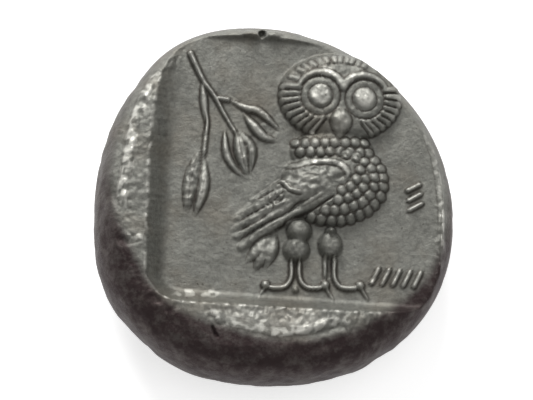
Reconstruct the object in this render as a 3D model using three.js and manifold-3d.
// An archaic silver tetradrachm, lying on its obverse: a thick hand-struck flan with an owl and an
// olive sprig in a sunk square on top, and a worn helmeted head in low relief underneath.
// Millimetres, +Z up. The origin is on the surface that the coin lies on, under the flan's middle.

import * as THREE from "three";
import { mergeVertices } from "three/addons/utils/BufferGeometryUtils.js";
import Module from "manifold-3d";

const wasm = await Module();
wasm.setup();

// ---- Driving dimensions, in millimetres and degrees ----

// The flan: how far its edge is from the axis every 30 degrees, anticlockwise from +X, and how high
// its rim stands every 45 degrees.
const EDGE_RADII = [11.3, 10.95, 10.85, 11.3, 11.9, 11.4, 11.25, 12.0, 11.95, 11.45, 11.7, 11.75];
const RIM_HEIGHTS = [5.05, 5.1, 5.45, 5.75, 6.15, 6.4, 6.45, 5.75];
const MIDDLE_Z = 5.85; // the struck side before the punch sank it
const WIDEST_Z = 3.1; // the line where the edge bulges most
const UNDERSIDE_Z = 0.98; // the obverse's field at its middle
const TOP_FULLNESS = 8; // how square the shoulders are: 2 is round
const UNDER_FULLNESS = 5.5;
const CREST = 0.3; // how much the rim stands above the middle, as a share of its height

// The sunk square that carries the owl. Its sides lean outwards by so much over its depth.
const FIELD_Z = 4.75;
const PUNCH = { x: 2.1, y: 2.0, width: 17.0, height: 16.2, depth: 2.4, corner: 1.3, turn: -3.5 };
const PUNCH_LEAN = { left: 2.1, right: 0.5, bottom: 1.05, top: 0.9 };

// The rim that the flan would need for the tallest relief: nothing stands out past its shoulder.
const RELIEF_TOP_Z = 6.75;

// The owl: the low mounds of its body, and what stands on them.
const HEAD = cushion({ x: 4.06, y: 6.6, length: 7.8, width: 5.7, height: 1.05, turn: -4, fullness: 4 });
const NECK = cushion({ x: 3.56, y: 3.2, length: 5.3, width: 2.8, height: 0.8, fullness: 4 });
const BODY = cushion({ x: 3.75, y: 1.08, length: 6.8, width: 5.35, height: 1.05, turn: 8, fullness: 3 });
const WING = cushion({ x: 1.88, y: 0.85, length: 6.2, width: 2.3, height: 1.25, turn: 24, fullness: 3 });
const SHOULDER = cushion({ x: 2.55, y: 1.6, length: 4.3, width: 1.9, height: 1.2, turn: 3, fullness: 3 });
const EYE = { apart: 2.78, right: 0.14, down: 0.12, radius: 0.74, height: 0.3 };
const EYE_RING = { radius: 1.03, half: 0.16 };
const BROW = { radius: 1.6, from: 40, to: 155, count: 5, half: 0.2, height: 0.26 };
const BEAK = { route: [[4.12, 5.9], [4.1, 3.95]], half: 0.54, height: 0.42 };
const RUFF = { half: 0.17, height: 0.16, start: 1.3, end: 0.97 };
const SIDE_BARS = { count: 8, from: -10, to: 95 }; // degrees below the level of each eye
const TOP_BARS = { count: 7, from: 52, to: 134, start: 0.68, end: 0.95 };
const BEAD = { radius: 0.29, height: 0.24, spacing: 0.64 };
const BREAST_RINGS = [0.9, 0.68, 0.46]; // how far out each ring of beads lies on the body
const NECK_BEADS = { count: 7, x: 1.3, rows: [3.65, 3.05] };
const FEATHER = { half: 0.24, height: 0.3, firstRoot: [1.6, 1.3], lastRoot: [3.6, -0.1] };
const FEATHER_TIPS = [[-1.2, 0.1], [-2.2, -1.25], [-2.4, -2.0], [-2.3, -2.6], [-1.9, -3.05]];
const TAIL = { root: [0.05, -2.2], half: 0.36, height: 0.5 };
const TAIL_TIPS = [[-1.8, -3.8], [-1.4, -4.45], [-0.7, -4.4]];
const THIGHS = [
  { x: 1.56, y: -1.75, length: 1.45, width: 1.4, height: 0.85 },
  { x: 1.4, y: -3.05, length: 1.4, width: 1.75, height: 0.72 },
  { x: 3.44, y: -2.65, length: 1.3, width: 1.8, height: 0.72 },
];
const KNEE = { x: 3.5, y: -1.75, radius: 0.26, height: 0.8 };
const GROUND_Y = -5.5; // the line that the owl stands on
const SHANK = { half: 0.15, height: 0.3, bend: 0.35, knuckle: 0.27, reach: 1.6 };
const CLAW = { half: 0.12, height: 0.2, out: 0.52, down: 0.75 };
const TOES = [{ x: 1.0, top: -3.7, side: -1 }, { x: 1.52, top: -3.7, side: 1 }, { x: 3.7, top: -3.4, side: 1 }];
const HIND_SHANK = { route: [[3.12, -3.4], [3.12, -4.9]], half: 0.15, height: 0.2 };
const HIND_TOE = { x: 1.28, y: -5.6, radius: 0.24, height: 0.25 };

// The olive sprig.
const STEM = { route: [[-5.3, 9.5], [-4.05, 7.0], [-3.4, 5.85], [-2.7, 4.4]], half: 0.19, height: 0.42 };
const TWIGS = [
  { route: [[-4.65, 7.9], [-4.4, 6.5], [-4.3, 4.8], [-4.5, 3.0]], half: 0.14, height: 0.28 },
  { route: [[-3.7, 6.45], [-2.8, 6.4]], half: 0.14, height: 0.28 },
];
const LEAVES = [
  { route: [[-4.65, 8.0], [-4.4, 6.6], [-4.3, 5.0]], half: 0.26, height: 0.32 }, // along the left twig
  { route: [[-4.45, 3.4], [-4.9, 1.3], [-5.4, -1.2]], half: 0.72, height: 0.4 },
  { route: [[-3.2, 4.5], [-3.0, 2.9], [-1.9, 1.35]], half: 0.34, height: 0.4 }, // in the middle
  { route: [[-2.5, 4.4], [-2.0, 3.0], [-1.65, 1.4]], half: 0.42, height: 0.5 },
  { route: [[-2.3, 4.5], [-1.35, 3.3], [-1.5, 1.7]], half: 0.28, height: 0.4 },
  { route: [[-2.95, 6.45], [-1.15, 5.85], [0.55, 4.05]], half: 0.3, height: 0.4 }, // on the right
  { route: [[-2.3, 5.7], [-1.1, 4.6], [0.4, 3.95]], half: 0.34, height: 0.45 },
];

// The worn inscription: two rows of short slanting strokes.
const STROKE = { half: 0.15, height: 0.24 };
const STROKE_ROWS = [
  { x: 8.7, y: 0.95, count: 3, step: [0.05, -0.62], length: 1.15, slant: 28 },
  { x: 6.25, y: -4.7, count: 5, step: [0.66, -0.05], length: 1.3, slant: 64 },
];

// A pit in the rim's top edge, and the metal thrown up on both sides of it.
const PIT = cushion({ x: -0.8, y: 10.7, length: 0.55, width: 0.65, height: 0.5, base: 0.3 });
const PIT_LIP = { apart: 1.5, length: 1.1, width: 0.6, height: 0.35, base: 0.15 };

// The helmeted head underneath, in profile, the way someone looking up at it sees it: x to their
// right when +Y is upright.
const BOWL = cushion({ x: -0.9, y: 1.2, length: 11.6, width: 9, height: 1.05, turn: -12, fullness: 2.4 });
const FACE = cushion({ x: 1.5, y: -2.4, length: 9.7, width: 7.6, height: 0.78, turn: 82, fullness: 3.4 });
const NAPE = cushion({ x: -1.9, y: -5.8, length: 6.4, width: 5.4, height: 0.6, turn: 84, fullness: 3 });
const CHIN = cushion({ x: 3.7, y: -5.9, length: 2.8, width: 2.2, height: 0.62, turn: 20, fullness: 3 });
const PLUME = { reach: 1.18, from: 38, to: 222, count: 7, half: 0.75, height: 0.75 };
const FACE_LINES = [
  { route: [[5.0, 0.0], [5.95, -2.0], [5.85, -2.6], [5.1, -2.7]], half: 0.4, height: 0.45 }, // the nose
  { route: [[4.8, -3.65], [5.5, -3.7]], half: 0.26, height: 0.35 }, // the lips
  { route: [[4.75, -4.3], [5.35, -4.25]], half: 0.26, height: 0.35 },
  { route: [[2.7, -1.4], [3.5, -0.98], [4.4, -1.4]], half: 0.13, height: 0.18 }, // the eye's lids
  { route: [[2.7, -1.4], [3.5, -1.78], [4.4, -1.4]], half: 0.13, height: 0.18 },
  { route: [[5.2, 1.0], [1.7, 0.7], [-1.8, -0.9], [-4.7, -3.6]], half: 0.22, height: 0.25 }, // the helmet
  { route: [[-4.6, -7.6], [-2.2, -8.3], [0.8, -7.8]], half: 0.3, height: 0.4 }, // the necklace
];
const HELMET_LEAVES = { count: 3, x: 0.4, y: 1.3, step: 1.5, lean: -0.45, length: 2.1, half: 0.42, height: 0.2 };
const CURLS = { count: 6, x: 4.75, y: 0.15, step: [-0.82, -0.1], radius: 0.42, height: 0.35 };
const EAR_STUD = { x: -1.0, y: -3.2, radius: 0.7, half: 0.22 };

// How deep the widest line of each raised form lies in the metal that carries it.
const SUNK = 0.04;

// How finely the flan is divided.
const SEGMENTS = 54;
const TOP_RINGS = 6;
const UNDER_RINGS = 5;

const SILVER = new THREE.MeshStandardMaterial({ color: 0x77746c, roughness: 0.45, metalness: 0.9 });

// ---- Curves and heights ----

const degrees = THREE.MathUtils.degToRad;
const rowOf = (count, make) => Array.from({ length: count }, (_, i) => make(i));

// Evenly spaced values from one to another.
const spread = ({ count, from, to }) => rowOf(count, (i) => from + (i * (to - from)) / (count - 1));

// The value at an angle of a closed row of evenly spaced values, with a smooth curve through them.
function around(values, angle) {
  const count = values.length;
  const place = (angle / (2 * Math.PI) + 1) * count;
  const first = Math.floor(place);
  const t = place - first;
  const [a, b, c, d] = [-1, 0, 1, 2].map((step) => values[(first + step + count) % count]);
  return b + (t / 2) * (c - a + t * (2 * a - 5 * b + 4 * c - d + t * (3 * b - a - 3 * c + d)));
}

// The height of a mound's section at a share of the way out to its edge: 1 in the middle, 0 there.
const swell = (reach, fullness) => Math.sqrt(Math.max(0, 1 - reach ** fullness));

// A low oval mound. Its turn is in degrees, and a higher fullness gives a flatter top.
function cushion({ turn = 0, fullness = 2, base = 0, ...sizes }) {
  const angle = (turn * Math.PI) / 180;
  return { ...sizes, fullness, base, cos: Math.cos(angle), sin: Math.sin(angle) };
}

// The point of a cushion that is so far along it and across it from its middle.
function pointOn(shape, along, across) {
  return [shape.x + along * shape.cos - across * shape.sin, shape.y + along * shape.sin + across * shape.cos];
}

// The point at an angle round an oval that is as large as a cushion times its reach.
function onOval(shape, angle, reach) {
  const across = (Math.sin(angle) * reach * shape.width) / 2;
  return pointOn(shape, (Math.cos(angle) * reach * shape.length) / 2, across);
}

// How far out of a cushion's middle a point is: 1 at its edge.
function reachIn(shape, x, y) {
  const [dx, dy] = [x - shape.x, y - shape.y];
  const along = (dx * shape.cos + dy * shape.sin) / (shape.length / 2);
  const across = (dy * shape.cos - dx * shape.sin) / (shape.width / 2);
  return Math.hypot(along, across);
}

// The point in a direction from (x, y) that is a share of the way out to a cushion's edge.
function towardsEdge(shape, x, y, angle, share) {
  let [near, far] = [0, shape.length];
  for (let i = 0; i < 24; i++) {
    const middle = (near + far) / 2;
    const inside = reachIn(shape, x + middle * Math.cos(angle), y + middle * Math.sin(angle)) < 1;
    [near, far] = inside ? [middle, far] : [near, middle];
  }
  return [x + near * share * Math.cos(angle), y + near * share * Math.sin(angle)];
}

// The height of the highest of several cushions at a point.
function heightOn(shapes, x, y) {
  const heights = shapes.map((shape) => {
    return shape.base + shape.height * swell(reachIn(shape, x, y), shape.fullness);
  });
  return Math.max(0, ...heights);
}

// The ground that the relief stands on: the punched field, and the obverse's field. That one is
// taken the way someone looking up at it sees it, with x to their right and height towards them.
const onField = () => FIELD_Z;

function onObverse(x, y) {
  const reach = Math.min(1, Math.hypot(x, y) / around(EDGE_RADII, Math.atan2(y, -x)));
  return (WIDEST_Z - UNDERSIDE_Z) * swell(reach, UNDER_FULLNESS) - WIDEST_Z;
}

// ---- Shapes ----

function solidOf(geometry) {
  geometry.deleteAttribute("normal");
  geometry.deleteAttribute("uv");
  const merged = mergeVertices(geometry, 1e-4);
  const mesh = { numProp: 3, vertProperties: merged.attributes.position.array, triVerts: merged.index.array };
  return new wasm.Manifold(new wasm.Mesh(mesh));
}

const joined = (shapes) => shapes.map(solidOf).reduce((whole, next) => whole.add(next));

// Moves every vertex of a geometry to where a function of its place puts it.
function reshaped(geometry, place) {
  const { position } = geometry.attributes;
  for (let i = 0; i < position.count; i++) {
    position.setXYZ(i, ...place(position.getX(i), position.getY(i), position.getZ(i)));
  }
  return geometry;
}

// A cushion as a closed shape, of which the lower half sinks into the ground.
function mound(shape, { segments = 12, rings = 6, ground = onField } = {}) {
  const ball = new THREE.SphereGeometry(1, segments, rings).rotateX(Math.PI / 2);
  return reshaped(ball, (across, up, level) => {
    const [x, y] = pointOn(shape, (across * shape.length) / 2, (up * shape.width) / 2);
    const rise = Math.sign(level) * shape.height * swell(Math.hypot(across, up), shape.fullness);
    return [x, y, ground(x, y) + shape.base + rise - SUNK];
  });
}

// A small round bump. With two rings it is a cone.
function bump(x, y, radius, height, { rings = 4, segments = 6, ground = onField } = {}) {
  const level = ground(x, y);
  const shape = cushion({ x, y, length: 2 * radius, width: 2 * radius, height });
  return mound(shape, { segments, rings, ground: () => level });
}

function ring(x, y, radius, half, ground) {
  return new THREE.TorusGeometry(radius, half, 4, 12).translate(x, y, ground(x, y));
}

// How thick a ridge is along its length, from 0 to 1.
const even = () => 1;
const blunt = (t) => Math.max(0.35, Math.min(1, 6 * t + 0.35, 6 * (1 - t) + 0.35));
const thinning = (t) => 1 - 0.5 * t;
const leafy = (t) => Math.max(0.12, Math.sin(Math.PI * t ** 0.9));
const droplet = (t) => Math.max(0.1, Math.sin(Math.PI * t ** 0.75));
const plumed = (t) => Math.min(1, 5 * t + 0.3) * (1 - 0.6 * t);

// A ridge with a sharp top along a route, which follows the height of the ground under its middle.
function ridge({ route, half, height }, { taper = blunt, steps = 5, ground = onField } = {}) {
  const path = new THREE.CatmullRomCurve3(route.map(([x, y]) => new THREE.Vector3(x, y, 0)));
  const bar = new THREE.CylinderGeometry(1, 1, 1, 4, steps);
  return reshaped(bar, (across, along, up) => {
    const t = Math.min(1, Math.max(0, along + 0.5));
    const middle = path.getPointAt(t);
    const way = path.getTangentAt(t);
    const side = across * half * taper(t);
    const z = ground(middle.x, middle.y) + up * height * taper(t) - SUNK;
    return [middle.x + way.y * side, middle.y - way.x * side, z];
  });
}

// ---- The flan ----

// A flan whose struck side rises from its middle to what a function of the angle gives at its rim.
function blank(rimHeight, middle) {
  const outwards = (i, rings) => Math.sin(((i / rings) * Math.PI) / 2);
  const under = rowOf(UNDER_RINGS + 1, (i) => outwards(i, UNDER_RINGS));
  const over = rowOf(TOP_RINGS, (i) => outwards(TOP_RINGS - 1 - i, TOP_RINGS));
  const section = [
    ...under.map((reach) => new THREE.Vector2(reach, -swell(reach, UNDER_FULLNESS))),
    ...over.map((reach) => new THREE.Vector2(reach, swell(reach, TOP_FULLNESS))),
  ];
  const disc = new THREE.LatheGeometry(section, SEGMENTS).rotateX(Math.PI / 2);
  return reshaped(disc, (x, y, level) => {
    const reach = Math.min(1, Math.hypot(x, y));
    const angle = Math.atan2(y, x);
    const radius = around(EDGE_RADII, angle);
    const struck = middle + (rimHeight(angle) - middle) * reach ** 2;
    const top = (struck - WIDEST_Z) * (1 + CREST * reach ** 4);
    return [x * radius, y * radius, WIDEST_Z + level * (level > 0 ? top : WIDEST_Z - UNDERSIDE_Z)];
  });
}

// The punch: a block with rounded corners whose sides lean outwards.
function punch() {
  const [w, h] = [PUNCH.width / 2 - PUNCH.corner, PUNCH.height / 2 - PUNCH.corner];
  const square = new THREE.Shape();
  square.absarc(w, h, PUNCH.corner, 0, degrees(90));
  square.absarc(-w, h, PUNCH.corner, degrees(90), degrees(180));
  square.absarc(-w, -h, PUNCH.corner, degrees(180), degrees(270));
  square.absarc(w, -h, PUNCH.corner, degrees(270), degrees(360));
  const options = { depth: PUNCH.depth, bevelEnabled: false, curveSegments: 3 };
  const block = new THREE.ExtrudeGeometry(square, options);
  reshaped(block, (x, y, z) => {
    const share = z / PUNCH.depth;
    const sideways = x > 0 ? PUNCH_LEAN.right : -PUNCH_LEAN.left;
    const upwards = y > 0 ? PUNCH_LEAN.top : -PUNCH_LEAN.bottom;
    return [x + share * sideways, y + share * upwards, z];
  });
  return block.rotateZ(degrees(PUNCH.turn)).translate(PUNCH.x, PUNCH.y, FIELD_Z);
}

// ---- The owl ----

const onFace = (x, y) => FIELD_Z + heightOn([HEAD], x, y);
const onBreast = (x, y) => FIELD_Z + heightOn([NECK, BODY], x, y);
const onWing = (x, y) => FIELD_Z + heightOn([WING, SHOULDER, BODY], x, y);

// An eye's middle, on side -1 or 1 of the face.
const eyeAt = (side) => pointOn(HEAD, EYE.right + (side * EYE.apart) / 2, -EYE.down);

function eye(side) {
  const [x, y] = eyeAt(side);
  const ball = bump(x, y, EYE.radius, EYE.height, { segments: 8, ground: onFace });
  return [ball, ring(x, y, EYE_RING.radius, EYE_RING.half, onFace)];
}

// Half of the brow: an arc over one eye, which meets the other half between the eyes.
function brow(side) {
  const [x, y] = eyeAt(side);
  const route = spread(BROW).map((swing) => {
    return [x - side * BROW.radius * Math.cos(degrees(swing)), y + BROW.radius * Math.sin(degrees(swing))];
  });
  return ridge({ ...BROW, route }, { taper: thinning, ground: onFace });
}

// The stiff feathers round the face: bars from the eyes and the brow out to its edge.
function ruff() {
  const bar = (route) => ridge({ ...RUFF, route }, { taper: even, steps: 1, ground: onFace });
  const sideBars = [-1, 1].flatMap((side) =>
    spread(SIDE_BARS).map((swing) => {
      const [x, y] = eyeAt(side);
      const angle = degrees(side > 0 ? -swing : 180 + swing);
      const start = [x + RUFF.start * Math.cos(angle), y + RUFF.start * Math.sin(angle)];
      return bar([start, towardsEdge(HEAD, x, y, angle, RUFF.end)]);
    }),
  );
  const topBars = spread(TOP_BARS).map((swing) => {
    const shares = [TOP_BARS.start, TOP_BARS.end];
    return bar(shares.map((share) => towardsEdge(HEAD, HEAD.x, HEAD.y, degrees(swing), share)));
  });
  return [...sideBars, ...topBars];
}

function head() {
  const beak = ridge(BEAK, { taper: droplet, steps: 4, ground: onFace });
  return [mound(HEAD, { segments: 20 }), ...eye(-1), ...eye(1), brow(-1), brow(1), beak, ...ruff()];
}

// Round feathers: rings that follow the edge of the breast up to the wing, and rows on the neck.
function beads() {
  const onBreastOnly = ([x, y]) => {
    const overWing = Math.min(reachIn(WING, x, y), reachIn(SHOULDER, x, y)) < 1.12;
    return x > 1.2 && y < NECK_BEADS.rows[1] - BEAD.radius / 2 && !overWing;
  };
  const breast = BREAST_RINGS.flatMap((reach) => {
    const count = Math.round((Math.PI * reach * (BODY.length + BODY.width)) / 2 / BEAD.spacing);
    return rowOf(count, (i) => onOval(BODY, (2 * Math.PI * (i + reach)) / count, reach));
  });
  const neck = NECK_BEADS.rows.flatMap((y, row) =>
    rowOf(NECK_BEADS.count, (i) => [NECK_BEADS.x + (i + row / 2) * BEAD.spacing, y]),
  );
  const places = [...breast.filter(onBreastOnly), ...neck];
  return places.map(([x, y]) => bump(x, y, BEAD.radius, BEAD.height, { rings: 2, ground: onBreast }));
}

function wing() {
  const feathers = FEATHER_TIPS.map((tip, i) => {
    const share = i / (FEATHER_TIPS.length - 1);
    const root = FEATHER.firstRoot.map((from, axis) => from + share * (FEATHER.lastRoot[axis] - from));
    return ridge({ ...FEATHER, route: [root, tip] }, { taper: thinning, steps: 4, ground: onWing });
  });
  return [mound(WING), mound(SHOULDER), ...feathers];
}

const tail = () => TAIL_TIPS.map((tip) => ridge({ ...TAIL, route: [TAIL.root, tip] }, { taper: leafy }));

// A shank that comes down and turns into a toe on one side, with a knuckle and a claw at its end.
function toe({ x, top, side }) {
  const [endX, endY] = [x + side * SHANK.reach, GROUND_Y + 0.1];
  const bend = [x + side * SHANK.bend, GROUND_Y + 0.12];
  const route = [[x, top], [x, GROUND_Y + 0.7], bend, [x + side, GROUND_Y], [endX, endY]];
  const claw = { ...CLAW, route: [[endX, endY], [endX + side * CLAW.out, GROUND_Y - CLAW.down]] };
  return [
    ridge({ ...SHANK, route }, { steps: 6 }),
    bump(endX, endY + 0.08, SHANK.knuckle, SHANK.height + 0.1),
    ridge(claw, { taper: thinning, steps: 2 }),
  ];
}

function legs() {
  return [
    ...THIGHS.map((thigh) => mound(cushion(thigh), { segments: 8 })),
    ...TOES.flatMap(toe),
    ...[KNEE, HIND_TOE].map(({ x, y, radius, height }) => bump(x, y, radius, height)),
    ridge(HIND_SHANK),
  ];
}

// ---- The olive sprig, the strokes and the pit ----

function sprig() {
  const leaves = LEAVES.map((leaf) => ridge(leaf, { taper: leafy, steps: 4 }));
  return [ridge(STEM, { taper: thinning }), ...TWIGS.map((twig) => ridge(twig, { steps: 4 })), ...leaves];
}

function strokes() {
  return STROKE_ROWS.flatMap(({ x, y, count, step, length, slant }) => {
    const [dx, dy] = [(length / 2) * Math.cos(degrees(slant)), (length / 2) * Math.sin(degrees(slant))];
    return rowOf(count, (i) => {
      const [middleX, middleY] = [x + i * step[0], y + i * step[1]];
      const route = [[middleX + dx, middleY + dy], [middleX - dx, middleY - dy]];
      return ridge({ ...STROKE, route }, { steps: 2 });
    });
  });
}

function pitLips() {
  const places = [PIT.x - PIT_LIP.apart / 2, PIT.x + PIT_LIP.apart / 2];
  return places.map((x) => mound(cushion({ ...PIT_LIP, x, y: PIT.y }), { segments: 8, rings: 4 }));
}

// ---- The head underneath ----

function helmetedHead() {
  const forms = [BOWL, FACE, NAPE, CHIN];
  const onHead = (x, y) => onObverse(x, y) + heightOn(forms, x, y);
  const route = spread(PLUME).map((swing) => onOval(BOWL, degrees(swing), PLUME.reach));
  const leaves = rowOf(HELMET_LEAVES.count, (i) => {
    const [x, y] = [HELMET_LEAVES.x + i * HELMET_LEAVES.step, HELMET_LEAVES.y];
    const leaf = [[x, y], [x + HELMET_LEAVES.lean, y + HELMET_LEAVES.length]];
    return ridge({ ...HELMET_LEAVES, route: leaf }, { taper: leafy, steps: 3, ground: onHead });
  });
  const curls = rowOf(CURLS.count, (i) => {
    const [x, y] = [CURLS.x + i * CURLS.step[0], CURLS.y + i * CURLS.step[1]];
    return bump(x, y, CURLS.radius, CURLS.height, { rings: 2, ground: onHead });
  });
  return [
    ...forms.map((form) => mound(form, { segments: 14, ground: onObverse })),
    ridge({ ...PLUME, route }, { taper: plumed, steps: 8, ground: onObverse }),
    ...FACE_LINES.map((line) => ridge(line, { steps: line.route.length, ground: onHead })),
    ...leaves,
    ...curls,
    ring(EAR_STUD.x, EAR_STUD.y, EAR_STUD.radius, EAR_STUD.half, onHead),
  ];
}

// ---- The coin ----

function coin() {
  const rim = (angle) => around(RIM_HEIGHTS, angle);
  const flan = solidOf(blank(rim, MIDDLE_Z)).subtract(solidOf(punch()));
  const body = [mound(NECK), mound(BODY, { segments: 18 })];
  const owl = [...body, ...head(), ...beads(), ...wing(), ...tail(), ...legs()];
  const limit = solidOf(blank(() => RELIEF_TOP_Z, RELIEF_TOP_Z));
  const relief = joined([...owl, ...sprig(), ...strokes()]).intersect(limit);
  const pit = solidOf(mound(PIT, { segments: 8, rings: 4 }));
  const obverse = joined(helmetedHead().map((shape) => shape.rotateY(Math.PI)));
  const table = solidOf(new THREE.BoxGeometry(40, 40, 20).translate(0, 0, -10));
  const whole = flan.add(relief).add(joined(pitLips())).subtract(pit).add(obverse).subtract(table);
  const { numProp, vertProperties, triVerts } = whole.getMesh();
  const geometry = new THREE.BufferGeometry();
  geometry.setAttribute("position", new THREE.BufferAttribute(vertProperties, numProp));
  geometry.setIndex(new THREE.BufferAttribute(triVerts, 1));
  geometry.computeVertexNormals();
  const mesh = new THREE.Mesh(geometry, SILVER);
  mesh.name = "coin";
  return mesh;
}

const tetradrachm = new THREE.Group();
tetradrachm.add(coin());

export default tetradrachm;
